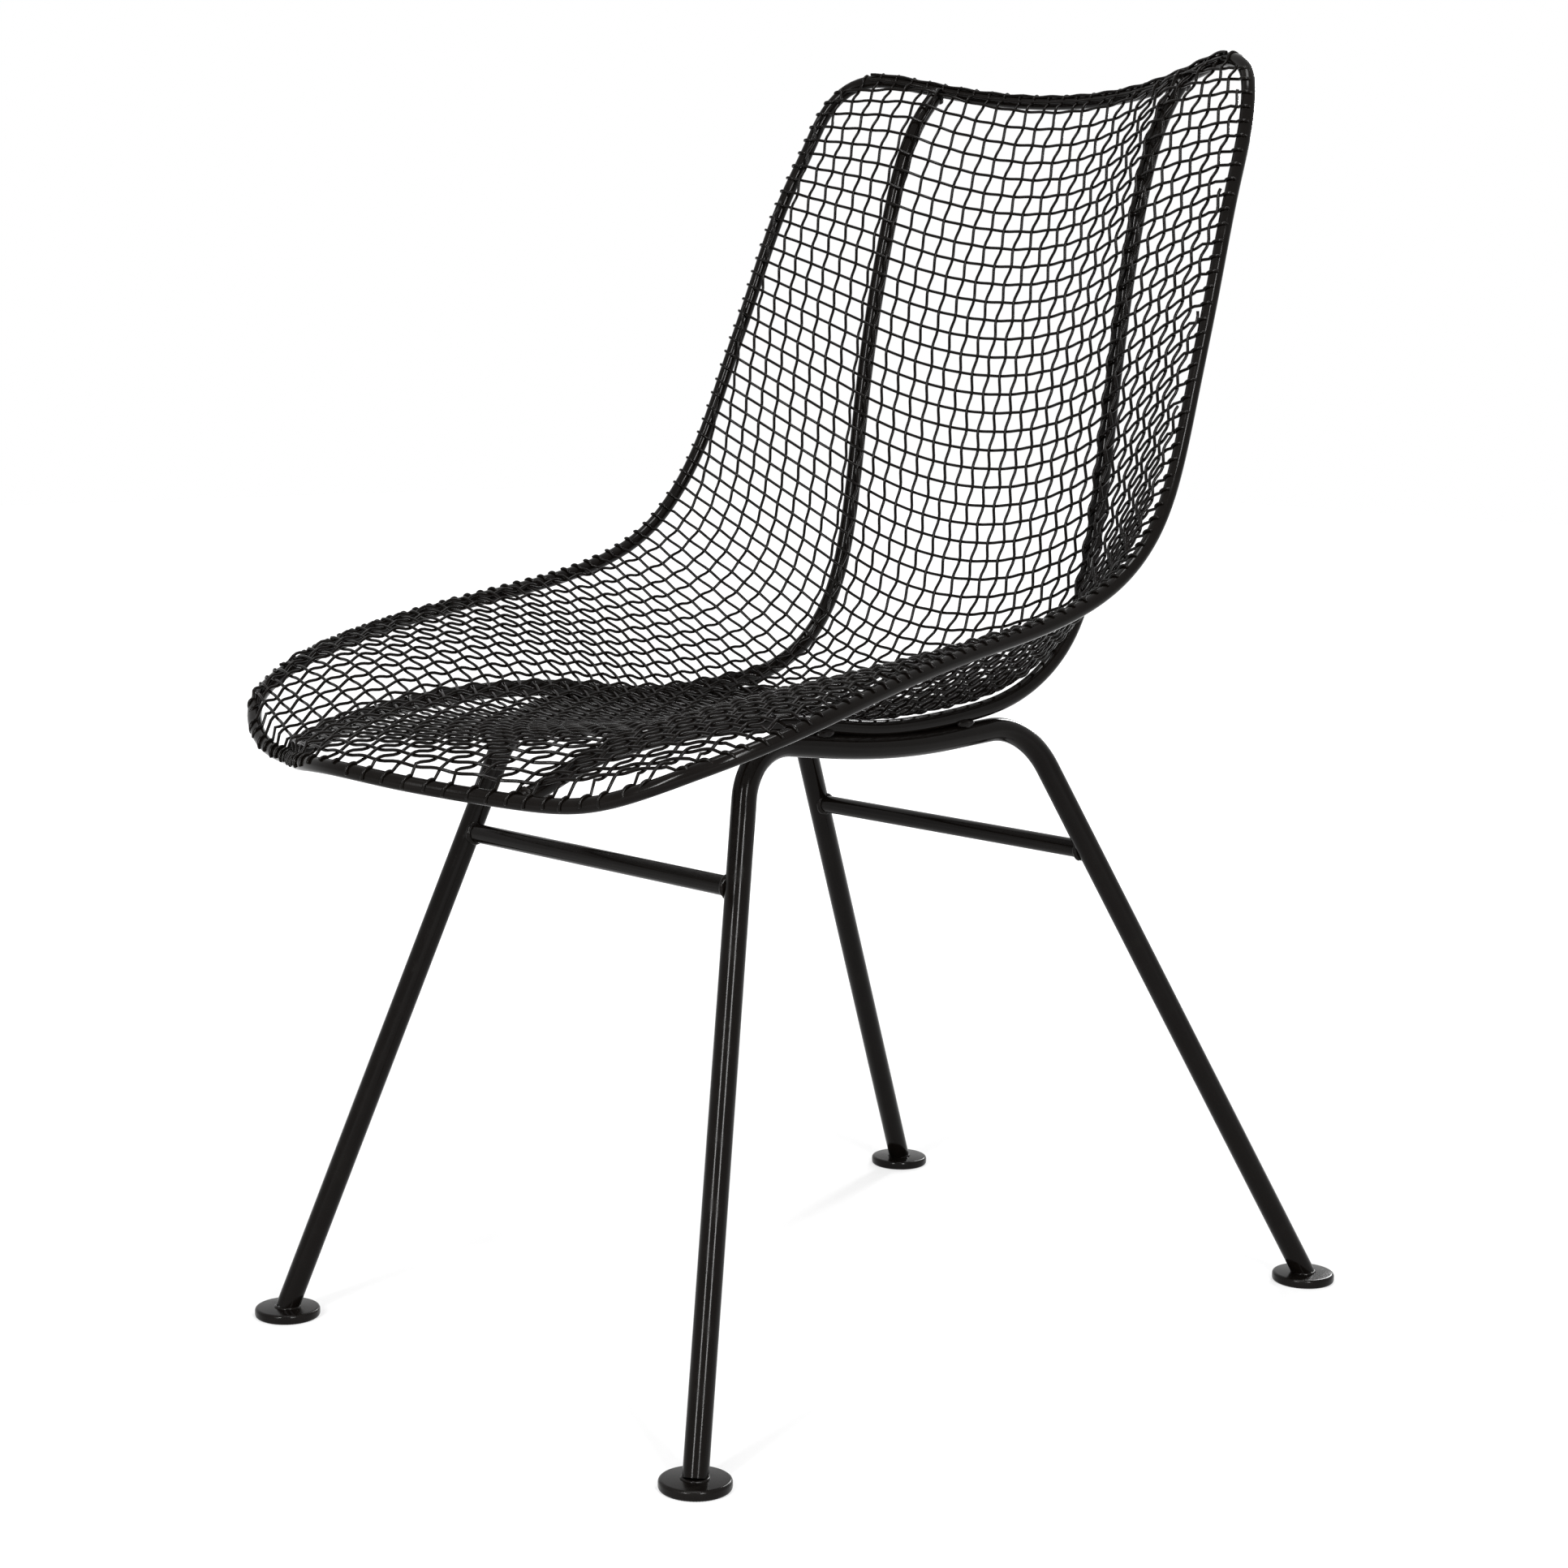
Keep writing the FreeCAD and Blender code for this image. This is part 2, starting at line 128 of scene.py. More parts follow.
def smooth_chain(stations, steps=CHAIN_STEPS):
    """Fine chain of points on the natural cubic curve through the stations."""
    points = np.array(stations, dtype=float)
    t = lengths_along(points)
    gap = np.diff(t)
    count = len(points)
    left = np.eye(count)
    right = np.zeros((count, 3))
    slope = np.diff(points, axis=0) / gap[:, None]
    for i in range(1, count - 1):
        left[i, i - 1:i + 2] = (gap[i - 1], 2 * (gap[i - 1] + gap[i]), gap[i])
        right[i] = 6 * (slope[i] - slope[i - 1])
    bend = np.linalg.solve(left, right)
    chain = []
    for i in range(count - 1):
        for u in np.linspace(0, gap[i], steps, endpoint=False):
            v = gap[i] - u
            straight = points[i] * v / gap[i] + points[i + 1] * u / gap[i]
            low = bend[i] * (v ** 3 / gap[i] - v * gap[i]) / 6
            high = bend[i + 1] * (u ** 3 / gap[i] - u * gap[i]) / 6
            chain.append(straight + low + high)
    chain.append(points[-1])
    return np.array(chain)


def mirrored(points):
    return points * np.array([-1.0, 1.0, 1.0])


def symmetric_chain(half, steps=CHAIN_STEPS, overlap=4):
    """Fine chain on a curve that runs on into its own mirror image at both ends."""
    points = np.array(half, dtype=float)
    before = mirrored(points[overlap:0:-1])
    after = mirrored(points[-2:-2 - overlap:-1])
    chain = smooth_chain(np.concatenate([before, points, after]), steps)
    return chain[overlap * steps:len(chain) - overlap * steps]


def at_shares(chain, shares):
    """Points at shares of the chain's length."""
    run = lengths_along(chain)
    want = np.asarray(shares) * run[-1]
    return np.stack([np.interp(want, run, chain[:, k]) for k in range(3)], axis=1)


def even_chain(chain, spacing):
    count = max(2, int(round(lengths_along(chain)[-1] / spacing)) + 1)
    return at_shares(chain, np.linspace(0, 1, count))


def unit(v):
    return v / np.linalg.norm(v, axis=-1, keepdims=True)


def bent_chain(points, radii, spacing):
    """Straight runs joined by tangent bends."""
    chain = [points[0]]
    for k in range(1, len(points) - 1):
        corner = points[k]
        back = unit(points[k - 1] - corner)
        ahead = unit(points[k + 1] - corner)
        half = math.acos(float(np.dot(back, ahead))) / 2
        reach = radii[k - 1] / math.tan(half)
        toward = unit(back + ahead)
        centre = corner + toward * (radii[k - 1] / math.sin(half))
        start = corner + back * reach - centre
        end = corner + ahead * reach - centre
        turn = math.pi - 2 * half
        steps = max(6, int(radii[k - 1] * turn / spacing) * 2)
        for i in range(steps + 1):
            share = i / steps
            bend = start * math.sin((1 - share) * turn) + end * math.sin(share * turn)
            chain.append(centre + bend / math.sin(turn))
    chain.append(points[-1])
    return np.array(chain)


# Pieces

def wire_piece(name, lines, radius, resolution, closed=False):
    """Round rods or wires along chains of points, as one mesh."""
    bpy.ops.object.select_all(action="DESELECT")
    bpy.ops.curve.primitive_nurbs_path_add(location=(0, 0, 0))
    piece = bpy.context.object
    piece.name = name
    curve = piece.data
    curve.splines.clear()
    for line in lines:
        spline = curve.splines.new("POLY")
        spline.points.add(len(line) - 1)
        flat = np.ones((len(line), 4))
        flat[:, :3] = line
        spline.points.foreach_set("co", flat.ravel())
        spline.use_cyclic_u = closed
        spline.use_smooth = True
    curve.dimensions = "3D"
    curve.twist_mode = "MINIMUM"
    curve.bevel_depth = radius
    curve.bevel_resolution = resolution
    curve.use_fill_caps = not closed
    bpy.ops.object.convert(target="MESH")
    bpy.ops.object.shade_smooth_by_angle(angle=SMOOTH_ANGLE)
    return piece


def finish_piece(piece, material, slot, *nodes):
    piece.data.materials.clear()
    piece.data.materials.append(material)
    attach(piece, "root")
    if nodes:
        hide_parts(*nodes)
    return piece


# Rim, ribs and the chains that the mesh follows

rim_left = symmetric_chain(RIM_HALF)
rim_loop = np.concatenate([rim_left, mirrored(rim_left[-2:0:-1])])
rib_left = smooth_chain(RIB)
middle_chain = smooth_chain(MESH_MIDDLE)


def between_stations(chain, stations, first, last):
    gap = np.linalg.norm(chain[:, None, :] - np.array([stations[first], stations[last]])[None], axis=2)
    ends = np.argmin(gap, axis=0)
    return chain[ends[0]:ends[1] + 1]


rim_side = between_stations(rim_left, RIM_HALF, RIM_TOP_CORNER, RIM_FRONT_CORNER)

# Mesh surface, a grid of points by share of length and by distance from the middle

STEP = WIRE_PITCH / STEPS_PER_PITCH
shares = np.linspace(0, 1, ROWS * STEPS_PER_PITCH + 1)
distances = np.arange(0, (COLUMNS_EACH_SIDE + 3) * STEPS_PER_PITCH) * STEP


def lifted(line, outward, rise):
    """A line on a rod raised toward the sitter."""
    run = np.gradient(line, axis=0)
    return line + unit(np.cross(run, outward)) * rise


def mesh_row(middle, rib, side, rise):
    """An arc that sags between the ribs, then an almost straight wing out to the rim."""
    share = np.linspace(0, 1, ROW_POINTS)[:, None]
    sag = middle + (rib - middle) * share ** 2
    sag[:, 0] = rib[0] * share[:, 0]
    leave = 2 * (rib - middle) * np.array([0, 1, 1]) / rib[0] * (side[0] - rib[0])
    chord = side - rib
    bulge = WING_BULGE * (leave - chord * np.array([0, 1, 1]))
    wing = rib + chord * share + bulge * share * (1 - share) ** 2
    wing[:, 2:] += rise * 4 * share * (1 - share)
    return np.concatenate([sag, wing[1:]])


def mesh_grid():
    middle = at_shares(middle_chain, shares)
    rib = at_shares(rib_left, shares)
    side = at_shares(rim_side, shares)
    rib_top = lifted(rib, side - middle, MESH_LIFT_RIB)
    side_top = lifted(side, side - rib, MESH_LIFT_RIM)
    grid = np.zeros((len(shares), len(distances), 3))
    widths = np.zeros(len(shares))
    rises = np.interp(shares, SEAT_WING_SHARES, (0, SEAT_WING_RISE, SEAT_WING_RISE, 0))
    for i in range(len(shares)):
        row = mesh_row(middle[i], rib_top[i], side_top[i], rises[i])
        run = lengths_along(row)
        widths[i] = run[-1]
        reach = np.minimum(distances, run[-1])
        spot = np.stack([np.interp(reach, run, row[:, k]) for k in range(3)], axis=1)
        past = (distances - reach)[:, None]
        grid[i] = spot + unit(row[-1] - row[-2]) * past
    down = np.gradient(grid, axis=0)
    across = np.gradient(grid, axis=1)
    normals = unit(np.cross(down, across))
    return grid, normals, widths


grid, normals, widths = mesh_grid()


RIM_SEARCH = (-0.03, 0.05)


def nearest_on_rim(start, ray):
    """Where a line past a point comes nearest the rim's centre line, and that spot of the rim."""
    share = (rim_loop - start) @ ray
    touch = start + share[:, None] * ray
    gap = np.linalg.norm(touch - rim_loop, axis=1)
    gap[(share < RIM_SEARCH[0]) | (share > RIM_SEARCH[1])] = np.inf
    k = int(np.argmin(gap))
    return touch[k], rim_loop[k]


BOX_LOW = np.array(cad_box[0])
BOX_HIGH = np.array(cad_box[1])
TACK_RADIUS = 0.00115
END_REACH = TACK_RADIUS + 0.0001
LAP_SINK = 0.0003
TOP_LAP_SINK = 0.0006
LAP_START = 0.0065
CURL_START = -35
CURL_STEP = 12


def lap_over_rim(line, degrees, sink=LAP_SINK):
    """The line carried on to the rim and curled over it, as far as the whole chair's box lets it."""
    ray = unit(line[-1] - line[-4])
    touch, core = nearest_on_rim(line[-1], ray)
    off = unit(touch - core)
    out = unit(ray - off * np.dot(ray, off))
    radius = RIM_RADIUS + WIRE_RADIUS - sink
    near = (line - touch) @ ray
    kept = line[near < -LAP_START]
    turns = np.radians(np.arange(CURL_START, degrees + 1, CURL_STEP))
    curl = core + radius * (np.cos(turns)[:, None] * off + np.sin(turns)[:, None] * out)
    inside = np.all((curl - END_REACH > BOX_LOW) & (curl + END_REACH < BOX_HIGH), axis=1)
    if not inside.all():
        curl = curl[:int(np.argmin(inside))]
    return np.concatenate([kept, curl])


# Crosswise wires

ROW_CURL = 62


def crosswise_half(n, side):
    """The wire of row n from the middle out to the left rim, crimped as on the given side."""
    i = STEPS_PER_PITCH * n + STEPS_PER_PITCH // 2
    last = int(widths[i] / STEP)
    wave = np.cos(math.pi * (side * distances / WIRE_PITCH - 0.5) + math.pi * n)
    crimped = grid[i] + normals[i] * (wave * CROSSWISE_CRIMP)[:, None]
    return lap_over_rim(crimped[:last + 1], ROW_CURL)


tips = []
crosswise = []
for n in range(ROWS):
    left = crosswise_half(n, 1)
    right = mirrored(crosswise_half(n, -1))
    crosswise.append(np.concatenate([right[:0:-1], left]))
    tips += [left[-1], right[-1]]

# Close rows on the top edge, woven through the curled ends of the lengthwise wires

EDGE_ROW_TURNS = (-8, 38)
EDGE_ROW_WAVE = 0.0005
EDGE_ROW_STATION = 4
SITTER_SIDE = (0, -1.0, 0.25)


def edge_row(turn):
    """A wire along the rim's top edge, turned from the sitter's side up over the rod."""
    core = rim_left[:EDGE_ROW_STATION * CHAIN_STEPS + 1]
    core = np.concatenate([mirrored(core[:0:-1]), core])
    core = even_chain(core, STEP)
    run = unit(np.gradient(core, axis=0))
    sitter = np.array(SITTER_SIDE)
    off = unit(sitter - run * (run @ sitter)[:, None])
    out = np.cross(run, off)
    out *= np.sign(out[:, 2:3])
    wave = np.cos(math.pi * (np.arange(len(core)) * STEP / WIRE_PITCH) + turn)
    radius = RIM_RADIUS + WIRE_RADIUS + EDGE_ROW_WAVE * wave
    angle = math.radians(turn)
    return core + radius[:, None] * (math.cos(angle) * off + math.sin(angle) * out)


edge_rows = [edge_row(turn) for turn in EDGE_ROW_TURNS]

# Lengthwise wires

TOP_CURL = 98
FRONT_CURL = 88
SIDE_END_INSET = 0.001


def runs_of(mask):
    edges = np.flatnonzero(np.diff(np.concatenate([[0], mask.astype(int), [0]])))
    return list(zip(edges[::2], edges[1::2]))


def lengthwise_wire(j, column, first, last):
    wave = -np.cos(math.pi * (shares * ROWS - 0.5) + math.pi * column)
    line = grid[:, j] + normals[:, j] * (wave * LENGTHWISE_CRIMP)[:, None]
    line = line[first:last]
    if first == 0:
        line = lap_over_rim(line[::-1], TOP_CURL, TOP_LAP_SINK)[::-1]
    if last == len(shares):
        line = lap_over_rim(line, FRONT_CURL)
    return line


lengthwise = []
for m in range(COLUMNS_EACH_SIDE):
    j = STEPS_PER_PITCH * m + STEPS_PER_PITCH // 2
    for first, last in runs_of(widths > distances[j] + SIDE_END_INSET):
        if last - first > 2 * STEPS_PER_PITCH:
            left = lengthwise_wire(j, m, first, last)
            right = mirrored(lengthwise_wire(j, m + 1, first, last))
            lengthwise += [left, right]
            if first == 0:
                tips += [left[0], right[0]]
            if last == len(shares):
                tips += [left[-1], right[-1]]


# Leg frame line

def frame_point(y, z):
    share = (y - FRONT_FOOT[1]) / (REAR_FOOT[1] - FRONT_FOOT[1])
    foot_x = FRONT_FOOT[0] + (REAR_FOOT[0] - FRONT_FOOT[0]) * share
    return np.array([foot_x - FRAME_LEAN * (z - FOOT_THICKNESS), y, z])


front_corner = frame_point(FRONT_BEND[0], FRONT_BEND[1])
bar_middle = frame_point(BAR_MIDDLE[0], BAR_MIDDLE[1])
rear_corner = frame_point(REAR_BEND[0], REAR_BEND[1])
frame_corners = [np.array(FRONT_FOOT), front_corner, bar_middle, rear_corner, np.array(REAR_FOOT)]
frame_radii = [FRONT_BEND[2], BAR_MIDDLE[2], REAR_BEND[2]]
frame_chain = bent_chain(frame_corners, frame_radii, ROD_SPACING)


def on_leg(foot, corner, z):
    foot = np.array(foot)
    return foot + (corner - foot) * (z - foot[2]) / (corner[2] - foot[2])


front_joint = on_leg(FRONT_FOOT, front_corner, FRONT_STRETCHER_Z)
rear_joint = on_leg(REAR_FOOT, rear_corner, REAR_STRETCHER_Z)


# Shader groups

def new_group(name, inputs, outputs):
    group = bpy.data.node_groups.new(name, "ShaderNodeTree")
    for socket_name, kind, value in inputs:
        socket = group.interface.new_socket(socket_name, in_out="INPUT", socket_type=kind)
        socket.default_value = value
    for socket_name, kind in outputs:
        group.interface.new_socket(socket_name, in_out="OUTPUT", socket_type=kind)
    return group, group.nodes.new("NodeGroupInput"), group.nodes.new("NodeGroupOutput")


def noise(nodes, links, coordinates, scale, detail, roughness=0.5):
    node = nodes.new("ShaderNodeTexNoise")
    node.inputs["Scale"].default_value = scale
    node.inputs["Detail"].default_value = detail
    node.inputs["Roughness"].default_value = roughness
    links.new(coordinates, node.inputs["Vector"])
    return node.outputs["Fac"]


def ramp(nodes, links, source, low, high):
    """0 below low, 1 above high, straight between."""
    node = nodes.new("ShaderNodeMapRange")
    node.inputs["From Min"].default_value = low
    node.inputs["From Max"].default_value = high
    links.new(source, node.inputs["Value"])
    return node.outputs["Result"]


def mix_values(nodes, links, share, low, high):
    node = nodes.new("ShaderNodeMix")
    node.data_type = "FLOAT"
    for socket, value in ((0, share), (2, low), (3, high)):
        if isinstance(value, (int, float)):
            node.inputs[socket].default_value = value
        else:
            links.new(value, node.inputs[socket])
    return node.outputs[0]


def mix_colours(nodes, links, share, low, high):
    node = nodes.new("ShaderNodeMix")
    node.data_type = "RGBA"
    links.new(share, node.inputs[0])
    for socket, value in ((6, low), (7, high)):
        if isinstance(value, tuple):
            node.inputs[socket].default_value = value
        else:
            links.new(value, node.inputs[socket])
    return node.outputs[2]


DRIFT_SCALE = 14.0
PATCH_SCALE = 60.0
PATCH_RANGE = (0.48, 0.72)
PATCH_ROUGHNESS = 0.16
SPECK_SCALE = 1400.0
SPECK_RANGE = (0.66, 0.76)
SPECK_SHARE = 0.12
TONE_RANGE = (0.75, 1.25)
PEEL_STRENGTH = 0.5


def paint_group():
    """Sprayed and baked paint: slow colour drift, dull dusty patches, fine orange peel."""
    group, start, end = new_group(
        "baked_paint",
        [("Paint", "NodeSocketColor", (0.02, 0.02, 0.02, 1)),
         ("Dust", "NodeSocketColor", (0.1, 0.1, 0.1, 1)),
         ("Dust Amount", "NodeSocketFloat", 0.1), ("Roughness", "NodeSocketFloat", 0.25),
         ("Peel Scale", "NodeSocketFloat", 900.0)],
        [("Color", "NodeSocketColor"), ("Roughness", "NodeSocketFloat"), ("Height", "NodeSocketFloat")])
    nodes = group.nodes
    links = group.links
    place = nodes.new("ShaderNodeTexCoord").outputs["Object"]
    drift = noise(nodes, links, place, DRIFT_SCALE, 3.0)
    patches = ramp(nodes, links, noise(nodes, links, place, PATCH_SCALE, 5.0, 0.6), *PATCH_RANGE)
    specks = ramp(nodes, links, noise(nodes, links, place, SPECK_SCALE, 2.0), *SPECK_RANGE)
    peel_node = nodes.new("ShaderNodeTexNoise")
    peel_node.inputs["Detail"].default_value = 1.0
    links.new(place, peel_node.inputs["Vector"])
    links.new(start.outputs["Peel Scale"], peel_node.inputs["Scale"])
    dust = nodes.new("ShaderNodeMath")
    dust.operation = "MULTIPLY_ADD"
    links.new(patches, dust.inputs[0])
    links.new(start.outputs["Dust Amount"], dust.inputs[1])
    speck_share = nodes.new("ShaderNodeMath")
    speck_share.operation = "MULTIPLY"
    speck_share.inputs[1].default_value = SPECK_SHARE
    links.new(specks, speck_share.inputs[0])
    links.new(speck_share.outputs[0], dust.inputs[2])
    darker = nodes.new("ShaderNodeMix")
    darker.data_type = "RGBA"
    darker.blend_type = "MULTIPLY"
    darker.inputs[0].default_value = 1.0
    links.new(start.outputs["Paint"], darker.inputs[6])
    tone = nodes.new("ShaderNodeMapRange")
    tone.inputs["To Min"].default_value = TONE_RANGE[0]
    tone.inputs["To Max"].default_value = TONE_RANGE[1]
    links.new(drift, tone.inputs["Value"])
    links.new(tone.outputs["Result"], darker.inputs[7])
    links.new(mix_colours(nodes, links, dust.outputs[0], darker.outputs[2], start.outputs["Dust"]),
              end.inputs["Color"])
    rough = nodes.new("ShaderNodeMath")
    rough.operation = "MULTIPLY_ADD"
    rough.inputs[1].default_value = PATCH_ROUGHNESS
    links.new(patches, rough.inputs[0])
    links.new(start.outputs["Roughness"], rough.inputs[2])
    links.new(rough.outputs[0], end.inputs["Roughness"])
    links.new(peel_node.outputs["Fac"], end.inputs["Height"])
    return group


baked_paint = paint_group()


def paint_material(name, colour, dust, dust_amount, roughness, peel_scale, peel_depth, specular):
    material = bpy.data.materials.new(name)
    material.use_nodes = True
    nodes = material.node_tree.nodes
    links = material.node_tree.links
    shader = nodes["Principled BSDF"]
    paint = nodes.new("ShaderNodeGroup")
    paint.node_tree = baked_paint
    paint.inputs["Paint"].default_value = colour
    paint.inputs["Dust"].default_value = dust
    paint.inputs["Dust Amount"].default_value = dust_amount
    paint.inputs["Roughness"].default_value = roughness
    paint.inputs["Peel Scale"].default_value = peel_scale
    bump = nodes.new("ShaderNodeBump")
    bump.inputs["Strength"].default_value = PEEL_STRENGTH
    bump.inputs["Distance"].default_value = peel_depth
    links.new(paint.outputs["Height"], bump.inputs["Height"])
    links.new(bump.outputs["Normal"], shader.inputs["Normal"])
    links.new(paint.outputs["Color"], shader.inputs["Base Color"])
    links.new(paint.outputs["Roughness"], shader.inputs["Roughness"])
    shader.inputs["Specular IOR Level"].default_value = specular
    return material


frame_paint = paint_material(
    "frame_paint", (0.0022, 0.0017, 0.0014, 1), (0.030, 0.026, 0.022, 1), dust_amount=0.02,
    roughness=0.12, peel_scale=900.0, peel_depth=0.00002, specular=0.08)
mesh_paint = paint_material(
    "mesh_paint", (0.0022, 0.0017, 0.0014, 1), (0.030, 0.026, 0.022, 1), dust_amount=0.02,
    roughness=0.15, peel_scale=1500.0, peel_depth=0.00002, specular=0.08)
weld_paint = paint_material(
    "weld_paint", (0.0026, 0.0020, 0.0017, 1), (0.032, 0.028, 0.024, 1), dust_amount=0.03,
    roughness=0.16, peel_scale=600.0, peel_depth=0.00012, specular=0.09)
foot_paint = paint_material(
    "foot_paint", (0.0026, 0.0021, 0.0018, 1), (0.034, 0.030, 0.026, 1), dust_amount=0.04,
    roughness=0.16, peel_scale=700.0, peel_depth=0.00004, specular=0.09)

# Rods and tubes

rim = wire_piece("rim_rod", [even_chain(np.concatenate([rim_loop, rim_loop[:1]]), ROD_SPACING)[:-1]],
                 RIM_RADIUS, RIM_ROUNDNESS, closed=True)
finish_piece(rim, frame_paint, "frame_paint", "rim_rod")

rib_points = even_chain(rib_left, ROD_SPACING)
left_rib = wire_piece("left_rib_rod", [rib_points], RIB_RADIUS, RIM_ROUNDNESS)
right_rib = wire_piece("right_rib_rod", [mirrored(rib_points)], RIB_RADIUS, RIM_ROUNDNESS)
finish_piece(left_rib, frame_paint, "frame_paint", "left_rib_rod")
finish_piece(right_rib, frame_paint, "frame_paint", "right_rib_rod")

left_frame = wire_piece("left_leg_frame", [frame_chain], LEG_RADIUS, LEG_ROUNDNESS)
right_frame = wire_piece("right_leg_frame", [mirrored(frame_chain)], LEG_RADIUS, LEG_ROUNDNESS)
finish_piece(left_frame, frame_paint, "frame_paint", "left_leg_frame")
finish_piece(right_frame, frame_paint, "frame_paint", "right_leg_frame")


def stretcher(name, joint):
    ends = np.array([joint, mirrored(joint)])
    piece = wire_piece(name, [ends], STRETCHER_RADIUS, STRETCHER_ROUNDNESS)
    return finish_piece(piece, frame_paint, "frame_paint", name)


stretcher("front_stretcher", front_joint)
stretcher("rear_stretcher", rear_joint)

# Feet

FOOT_EDGE = 0.0021
FOOT_BASE_EDGE = 0.0005
FOOT_SIDES = 72
FOOT_SMOOTH_ANGLE = math.radians(35)
EDGE_MARGIN = 0.0001


def foot(x, y):
    bpy.ops.object.select_all(action="DESELECT")
    bpy.ops.mesh.primitive_cylinder_add(
        vertices=FOOT_SIDES, radius=FOOT_RADIUS, depth=FOOT_THICKNESS, location=(x, y, FOOT_THICKNESS / 2))
    disc = bpy.context.object
    bpy.ops.object.transform_apply(location=True, rotation=True, scale=True)
    for edge in disc.data.edges:
        heights = [disc.data.vertices[v].co.z for v in edge.vertices]
        edge.select = min(heights) > FOOT_THICKNESS - EDGE_MARGIN
    bpy.ops.object.mode_set(mode="EDIT")
    bpy.ops.mesh.select_mode(type="EDGE")
    bpy.ops.mesh.bevel(offset=FOOT_EDGE, segments=6, profile=0.5)
    bpy.ops.mesh.select_all(action="DESELECT")
    bpy.ops.object.mode_set(mode="OBJECT")
    for edge in disc.data.edges:
        heights = [disc.data.vertices[v].co.z for v in edge.vertices]
        edge.select = max(heights) < EDGE_MARGIN
    bpy.ops.object.mode_set(mode="EDIT")
    bpy.ops.mesh.bevel(offset=FOOT_BASE_EDGE, segments=2, profile=0.5)
    bpy.ops.object.mode_set(mode="OBJECT")
    bpy.ops.object.shade_smooth_by_angle(angle=FOOT_SMOOTH_ANGLE)
    return disc


def joined(name, pieces):
    bpy.ops.object.select_all(action="DESELECT")
    for piece in pieces:
        piece.select_set(True)
    bpy.context.view_layer.objects.active = pieces[0]
    if len(pieces) > 1:
        bpy.ops.object.join()
    pieces[0].name = name
    return pieces[0]


front_feet = joined("front_feet", [foot(side * FRONT_FOOT[0], FRONT_FOOT[1]) for side in (1, -1)])
rear_feet = joined("rear_feet", [foot(side * REAR_FOOT[0], REAR_FOOT[1]) for side in (1, -1)])
finish_piece(front_feet, foot_paint, "foot_paint", "front_feet")
finish_piece(rear_feet, foot_paint, "foot_paint", "rear_feet")

# Weld beads, each an uneven ring or lump at a joint

RIPPLE_HEIGHT = 0.0012

ripple_texture = bpy.data.textures.new("weld_ripple", "CLOUDS")
ripple_texture.noise_scale = 0.0035
ripple_texture.noise_depth = 2


def lumpy(piece, strength):
    """Uneven surface of a weld, pressed into the mesh."""
    bpy.ops.object.select_all(action="DESELECT")
    piece.select_set(True)
    bpy.context.view_layer.objects.active = piece
    bpy.ops.object.transform_apply(location=True, rotation=True, scale=True)
    modifier = piece.modifiers.new("ripple", "DISPLACE")
    modifier.texture = ripple_texture
    modifier.texture_coords = "LOCAL"
    modifier.strength = strength
    modifier.mid_level = 0.5
    bpy.ops.object.modifier_apply(modifier=modifier.name)
    bpy.ops.object.shade_smooth()
    return piece


def weld_ring(centre, direction, ring_radius, bead_radius, strength=RIPPLE_HEIGHT):
    turn = Vector(direction).to_track_quat("Z", "Y").to_euler()
    bpy.ops.object.select_all(action="DESELECT")
    bpy.ops.mesh.primitive_torus_add(
        location=tuple(centre), rotation=turn, major_radius=ring_radius, minor_radius=bead_radius,
        major_segments=48, minor_segments=14)
    return lumpy(bpy.context.object, strength)


def weld_lump(centre, size, strength=RIPPLE_HEIGHT):
    bpy.ops.object.select_all(action="DESELECT")
    bpy.ops.mesh.primitive_ico_sphere_add(subdivisions=4, radius=1.0, location=tuple(centre), scale=size)
    return lumpy(bpy.context.object, strength)


def both_sides(make, centre, direction, *sizes):
    centre = np.array(centre)
    direction = np.array(direction)
    return [make(centre, direction, *sizes), make(mirrored(centre), mirrored(direction), *sizes)]


STRETCHER_BEAD = 0.0019
STRETCHER_BEAD_SEAT = 0.93
stretcher_welds = []
for joint in (front_joint, rear_joint):
    spot = joint - np.array([LEG_RADIUS * STRETCHER_BEAD_SEAT, 0, 0])
    stretcher_welds += both_sides(weld_ring, spot, (1, 0, 0), STRETCHER_RADIUS, STRETCHER_BEAD)
stretcher_welds = joined("stretcher_welds", stretcher_welds)
finish_piece(stretcher_welds, weld_paint, "weld_paint")

FOOT_BEAD = 0.0011
foot_welds = []
for foot_top, corner in ((FRONT_FOOT, front_corner), (REAR_FOOT, rear_corner)):
    foot_welds += both_sides(weld_ring, foot_top, (0, 0, 1), LEG_RADIUS, FOOT_BEAD)
foot_welds = joined("foot_welds", foot_welds)
finish_piece(foot_welds, weld_paint, "weld_paint")

SADDLE_SPOTS = (0.0705, -0.0735)
SADDLE_LENGTH = 0.016
SADDLE_SPREAD = 0.0040
SADDLE_HALF_WIDTH = 0.0028
SADDLE_HALF_HEIGHT = 0.0030
RIB_LEVEL = 0.43
BAR_LEVEL = 0.41
saddle_welds = []
for y in SADDLE_SPOTS:
    rib_spot = rib_left[np.argmin(abs(rib_left[:, 1] - y) + abs(rib_left[:, 2] - RIB_LEVEL))]
    bar_spot = frame_chain[np.argmin(abs(frame_chain[:, 1] - y) + abs(frame_chain[:, 2] - BAR_LEVEL))]
    seat = bar_spot + (rib_spot - bar_spot) * LEG_RADIUS / (LEG_RADIUS + RIB_RADIUS)
    for side in (1, -1):
        spot = seat + np.array([side * SADDLE_SPREAD, 0, 0])
        size = (SADDLE_HALF_WIDTH, SADDLE_LENGTH / 2, SADDLE_HALF_HEIGHT)
        saddle_welds += [weld_lump(spot, size), weld_lump(mirrored(spot), size)]
saddle_welds = joined("rib_saddle_welds", saddle_welds)
